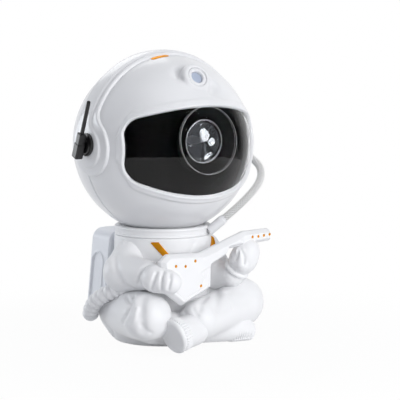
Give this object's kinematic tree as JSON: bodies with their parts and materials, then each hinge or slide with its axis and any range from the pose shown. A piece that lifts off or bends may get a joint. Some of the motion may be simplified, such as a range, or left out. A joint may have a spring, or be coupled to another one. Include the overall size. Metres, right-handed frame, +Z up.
{
  "type": "planetarium projector",
  "caption": "Star and nebula projector shaped as a seated astronaut with a guitar; the round helmet holds the optics and turns and tilts on its neck.",
  "frame": {"origin": "centre of the non-slip pad's underside, on the surface the projector stands on, under the neck", "axes": "+Z up, -Y the way the face looks, +X the astronaut's own left"},
  "size_m": [0.1617, 0.1402, 0.221],
  "materials": {
    "helmet_white": "satin-gloss moulded",
    "suit_white": "satin moulded",
    "visor_black": "high gloss smoked",
    "antenna_black": "satin",
    "gold_trim": "metallic paint",
    "window_blue": "clear tinted",
    "lens_clear": "polished",
    "film_clear": "rippled",
    "inner_black": "matte",
    "gear_white": "satin acetal",
    "heat_sink_metal": "extruded",
    "motor_steel": "plated",
    "screw_steel": "zinc plated",
    "pinion_brass": "cut",
    "board_green": "solder mask",
    "chip_black": "matte",
    "led_yellow": "gloss",
    "pad_rubber": "matte",
    "hose_braid": "braided sleeve",
    "button_grey": "satin",
    "magnet_nickel": "nickel plated"
  },
  "bodies": {
    "figure": {"body_front_shell": "suit_white", "body_rear_shell": "suit_white", "base_plate": "inner_black", "base_pad": "pad_rubber", "base_screws": "screw_steel", "ballast_plate": "screw_steel", "guitar": "suit_white", "guitar_studs": "gold_trim", "right_arm": "suit_white", "left_arm": "suit_white", "gloves": "suit_white", "boots": "suit_white", "chest_stripes": "gold_trim", "backpack": "suit_white", "suit_hose": "suit_white", "neck_collar": "suit_white"},
    "swivel": {"swivel_cup": "suit_white", "keeper_ring": "screw_steel", "swivel_washer": "screw_steel", "swivel_screw": "screw_steel"},
    "antenna": {"antenna_mast": "antenna_black"},
    "nebula": {"nebula_wheel": "gear_white", "nebula_disc": "film_clear"},
    "pinion": {"motor_pinion": "pinion_brass"},
    "grating": {"grating_wheel": "gear_white"},
    "roller": {"grating_roller": "pad_rubber"},
    "power_button": {"power_button": "button_grey"},
    "star_button": {"star_button": "button_grey"},
    "nebula_button": {"nebula_button": "button_grey"},
    "head": {"helmet_front_shell": "helmet_white", "helmet_rear_shell": "helmet_white", "visor": "visor_black", "headband": "helmet_white", "crest_inlay": "gold_trim", "antenna_base": "antenna_black", "laser_bezel": "helmet_white", "laser_window": "window_blue", "laser_module": "pinion_brass", "laser_bracket": "inner_black", "grating_motor": "motor_steel", "chassis": "inner_black", "led_board": "board_green", "led_emitters": "led_yellow", "heat_sink": "heat_sink_metal", "lens_barrel": "inner_black", "dome_lens": "lens_clear", "lens_hood": "inner_black", "nebula_motor": "motor_steel", "helmet_screws": "screw_steel", "main_board": "board_green", "board_components": "chip_black", "control_panel": "helmet_white", "control_board": "board_green", "tact_switches": "chip_black", "usb_socket": "screw_steel", "ir_receiver": "inner_black", "magnet_tray": "inner_black", "head_magnet": "magnet_nickel", "hose_sockets": "helmet_white", "air_hose": "hose_braid"}
  },
  "joints": [
    {"name": "head_turn", "type": "hinge", "parent": "figure", "child": "swivel", "pos_m": [0, 0, 0.07815], "axis": [0, 0, 1], "continuous": true},
    {"name": "head_tilt", "type": "hinge", "parent": "swivel", "child": "head", "pos_m": [0, 0, 0.15], "axis": [-1, 0, 0], "range_deg": [0, 30]},
    {"name": "antenna_swing", "type": "hinge", "parent": "head", "child": "antenna", "pos_m": [-0.0707, -0.0065, 0.1525], "axis": [1, 0, 0], "range_deg": [-60, 60]},
    {"name": "nebula_spin", "type": "hinge", "parent": "head", "child": "nebula", "pos_m": [0, -0.0118, 0.155], "axis": [0, -1, 0], "continuous": true},
    {"name": "pinion_spin", "type": "hinge", "parent": "head", "child": "pinion", "pos_m": [0, -0.0098, 0.12888], "axis": [0, -1, 0], "continuous": true},
    {"name": "grating_spin", "type": "hinge", "parent": "head", "child": "grating", "pos_m": [0, -0.03437, 0.19474], "axis": [0, -0.8746, 0.4848], "continuous": true},
    {"name": "roller_spin", "type": "hinge", "parent": "head", "child": "roller", "pos_m": [0, -0.03003, 0.20257], "axis": [0, -0.8746, 0.4848], "continuous": true},
    {"name": "star_press", "type": "slide", "parent": "head", "child": "star_button", "axis": [0, -1, 0], "range_m": [0, 0.0008], "stiffness_N_per_m": 500, "springref_m": -0.0005},
    {"name": "power_press", "type": "slide", "parent": "head", "child": "power_button", "axis": [0, -1, 0], "range_m": [0, 0.0008], "stiffness_N_per_m": 500, "springref_m": -0.0005},
    {"name": "nebula_press", "type": "slide", "parent": "head", "child": "nebula_button", "axis": [0, -1, 0], "range_m": [0, 0.0008], "stiffness_N_per_m": 500, "springref_m": -0.0005}
  ],
  "couplings": [
    {"joint": "pinion_spin", "follows": "nebula_spin", "ratio": -3.3333},
    {"joint": "roller_spin", "follows": "grating_spin", "ratio": -3.45}
  ]
}
